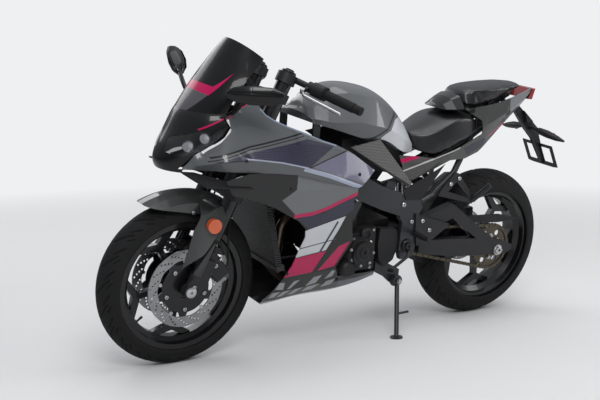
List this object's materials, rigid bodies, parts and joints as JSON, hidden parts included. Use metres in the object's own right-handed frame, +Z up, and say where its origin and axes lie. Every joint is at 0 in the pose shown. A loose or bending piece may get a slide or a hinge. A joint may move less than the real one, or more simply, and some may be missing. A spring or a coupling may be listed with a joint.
{
  "type": "sport motorcycle",
  "caption": "Faired sport motorcycle parked on its side stand; the wheels spin, the fork steers and the stand folds up.",
  "frame": {"origin": "middle of the bounding box on the ground, parked and leaning 8.8 degrees to the left", "axes": "+X forward, +Y to the rider's left, +Z up"},
  "size_m": [2.0274, 0.7655, 1.1286],
  "materials": {
    "bright_steel": "satin",
    "cast_alloy": "satin",
    "chain_steel": "satin",
    "dark_screen": "dark clear",
    "disc_steel": "brushed",
    "display": "gloss",
    "engine_alloy": "satin",
    "exhaust_steel": "satin",
    "fork_tube": "satin",
    "frame_paint": "satin",
    "gloss_black": "gloss",
    "gloss_grey": "gloss",
    "lamp_lens": "clear",
    "orange_lens": "gloss",
    "panel_paint": "gloss",
    "radiator_core": "matt",
    "red_lens": "gloss",
    "rubber": "matt",
    "satin_black": "satin",
    "seat_cover": "matt",
    "tyre": "matt",
    "wheel_paint": "satin"
  },
  "bodies": {
    "chassis": {"chain": "chain_steel", "engine_block": "engine_alloy", "engine_covers": "engine_alloy", "exhaust_system": "exhaust_steel", "fairing_stay": "frame_paint", "fuel_tank": "gloss_grey", "headlamps": "lamp_lens", "instrument_panel": "display", "lower_fairings": "panel_paint", "main_frame": "frame_paint", "mirrors": "gloss_black", "nose_fairing": "gloss_black", "pillion_pegs": "cast_alloy", "pillion_seat": "seat_cover", "pivot_plates": "frame_paint", "plate_bracket": "satin_black", "radiator": "radiator_core", "rear_axle": "bright_steel", "rear_caliper": "cast_alloy", "rear_hugger": "satin_black", "rear_indicators": "satin_black", "rear_shock": "bright_steel", "rearsets": "cast_alloy", "rider_seat": "seat_cover", "stand_bracket": "frame_paint", "subframe": "frame_paint", "swingarm": "cast_alloy", "tail_fairing": "panel_paint", "tail_lamp": "red_lens", "undertray": "satin_black", "upper_fairings": "panel_paint", "windscreen": "dark_screen", "winglets": "satin_black"},
    "steering": {"fork_clamps": "cast_alloy", "fork_uppers": "fork_tube", "fork_lowers": "cast_alloy", "front_axle": "bright_steel", "clip_on_bars": "cast_alloy", "grips": "rubber", "switch_housings": "satin_black", "hand_levers": "bright_steel", "front_fender": "panel_paint", "fender_reflectors": "orange_lens", "front_calipers": "cast_alloy"},
    "front_wheel": {"front_tyre": "tyre", "front_rim": "wheel_paint", "front_discs": "disc_steel"},
    "rear_wheel": {"rear_tyre": "tyre", "rear_rim": "wheel_paint", "rear_disc": "disc_steel", "rear_sprocket": "chain_steel"},
    "side_stand": {"side_stand": "frame_paint"}
  },
  "joints": [
    {"name": "steering_turn", "type": "hinge", "parent": "chassis", "child": "steering", "pos_m": [0.68865, -0.1244, 0.27609], "axis": [-0.4147, 0.1392, 0.8992], "range_deg": [-28, 28]},
    {"name": "front_wheel_spin", "type": "hinge", "parent": "steering", "child": "front_wheel", "pos_m": [0.7205, -0.12218, 0.29043], "axis": [0, 0.9882, -0.153], "continuous": true},
    {"name": "rear_wheel_spin", "type": "hinge", "parent": "chassis", "child": "rear_wheel", "pos_m": [-0.6445, -0.12019, 0.30328], "axis": [0, 0.9882, -0.153], "continuous": true},
    {"name": "side_stand_fold", "type": "hinge", "parent": "chassis", "child": "side_stand", "pos_m": [-0.163, -0.02372, 0.20739], "axis": [0, 0.9589, 0.2837], "range_deg": [0, 97]}
  ]
}
